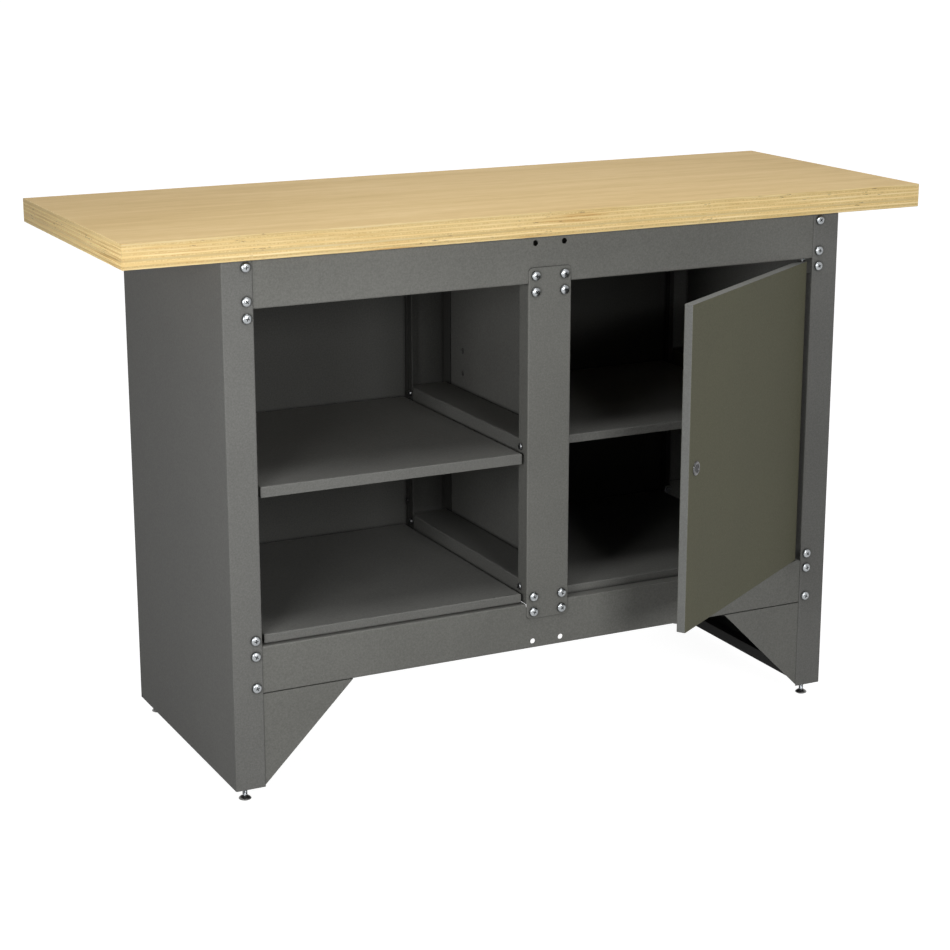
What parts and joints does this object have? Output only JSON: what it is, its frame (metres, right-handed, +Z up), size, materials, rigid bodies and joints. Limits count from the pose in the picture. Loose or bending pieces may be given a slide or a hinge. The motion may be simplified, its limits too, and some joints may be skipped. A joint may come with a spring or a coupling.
{
  "type": "workshop bench with open shelves and a cupboard",
  "caption": "Free-standing steel workshop bench with a plywood top, open shelves on the left and a lockable swing-door cupboard on the right, on levelling feet.",
  "frame": {"origin": "on the floor under the middle of the bench's box, with the door open as at rest", "axes": "+Z up, +X to the right of a person who faces the bench, +Y to the back; the front faces -Y"},
  "size_m": [1.39, 0.731, 0.89],
  "materials": {
    "plywood": "oiled plywood with open edges",
    "frame_paint": "fine-texture powder coat",
    "interior_paint": "fine-texture powder coat",
    "door_paint": "fine-texture powder coat",
    "zinc_steel": "bright zinc plate",
    "bush_plastic": "moulded nylon",
    "lock_chrome": "polished chrome"
  },
  "bodies": {
    "frame": {"back_panel_screws": "zinc_steel", "bracket_nuts": "zinc_steel", "bracket_screws": "zinc_steel", "centre_lower_bracket": "interior_paint", "centre_partition": "interior_paint", "centre_upper_bracket": "interior_paint", "cupboard_floor": "interior_paint", "cupboard_shelf": "interior_paint", "foot_weld_nuts": "zinc_steel", "frame_nuts": "zinc_steel", "frame_screws": "zinc_steel", "front_centre_post": "frame_paint", "front_lower_rail": "frame_paint", "front_top_rail": "frame_paint", "gusset_nuts": "zinc_steel", "gusset_screws": "zinc_steel", "left_back_panel": "interior_paint", "left_foot_rail": "interior_paint", "left_gusset": "frame_paint", "left_lower_bracket": "interior_paint", "left_lower_shelf": "interior_paint", "left_side_panel": "frame_paint", "left_upper_bracket": "interior_paint", "left_upper_shelf": "interior_paint", "lock_strike": "interior_paint", "lower_hinge_bush": "bush_plastic", "rear_centre_post": "frame_paint", "rear_lower_rail": "frame_paint", "rear_top_rail": "frame_paint", "right_back_panel": "interior_paint", "right_foot_rail": "interior_paint", "right_gusset": "frame_paint", "right_side_panel": "frame_paint", "right_upper_bracket": "interior_paint", "shelf_pegs": "zinc_steel", "upper_hinge_bush": "bush_plastic", "worktop": "plywood", "worktop_screws": "zinc_steel"},
    "door": {"door_pan": "door_paint", "door_stiffener": "door_paint", "upper_hinge_pin": "zinc_steel", "lower_hinge_pin": "zinc_steel", "lock_housing": "lock_chrome", "lock_nut": "zinc_steel"},
    "lock": {"lock_plug": "lock_chrome", "lock_cam": "zinc_steel", "lock_cam_screw": "zinc_steel"},
    "front_left_foot": {"front_left_foot_stud": "zinc_steel", "front_left_foot_pad": "zinc_steel", "front_left_foot_lock_nut": "zinc_steel"},
    "front_right_foot": {"front_right_foot_stud": "zinc_steel", "front_right_foot_pad": "zinc_steel", "front_right_foot_lock_nut": "zinc_steel"},
    "rear_left_foot": {"rear_left_foot_stud": "zinc_steel", "rear_left_foot_pad": "zinc_steel", "rear_left_foot_lock_nut": "zinc_steel"},
    "rear_right_foot": {"rear_right_foot_stud": "zinc_steel", "rear_right_foot_pad": "zinc_steel", "rear_right_foot_lock_nut": "zinc_steel"}
  },
  "joints": [
    {"name": "door_hinge", "type": "hinge", "parent": "frame", "child": "door", "pos_m": [0.478, -0.12146, 0.2545], "axis": [0, 0, 1], "range_deg": [-33, 77]},
    {"name": "lock_turn", "type": "hinge", "parent": "door", "child": "lock", "pos_m": [0.13571, -0.35269, 0.514], "axis": [-0.5446, 0.8387, 0], "range_deg": [0, 90]},
    {"name": "front_left_foot_height", "type": "slide", "parent": "frame", "child": "front_left_foot", "axis": [0, 0, -1], "range_m": [0, 0.015]},
    {"name": "front_right_foot_height", "type": "slide", "parent": "frame", "child": "front_right_foot", "axis": [0, 0, -1], "range_m": [0, 0.015]},
    {"name": "rear_left_foot_height", "type": "slide", "parent": "frame", "child": "rear_left_foot", "axis": [0, 0, -1], "range_m": [0, 0.015]},
    {"name": "rear_right_foot_height", "type": "slide", "parent": "frame", "child": "rear_right_foot", "axis": [0, 0, -1], "range_m": [0, 0.015]}
  ]
}
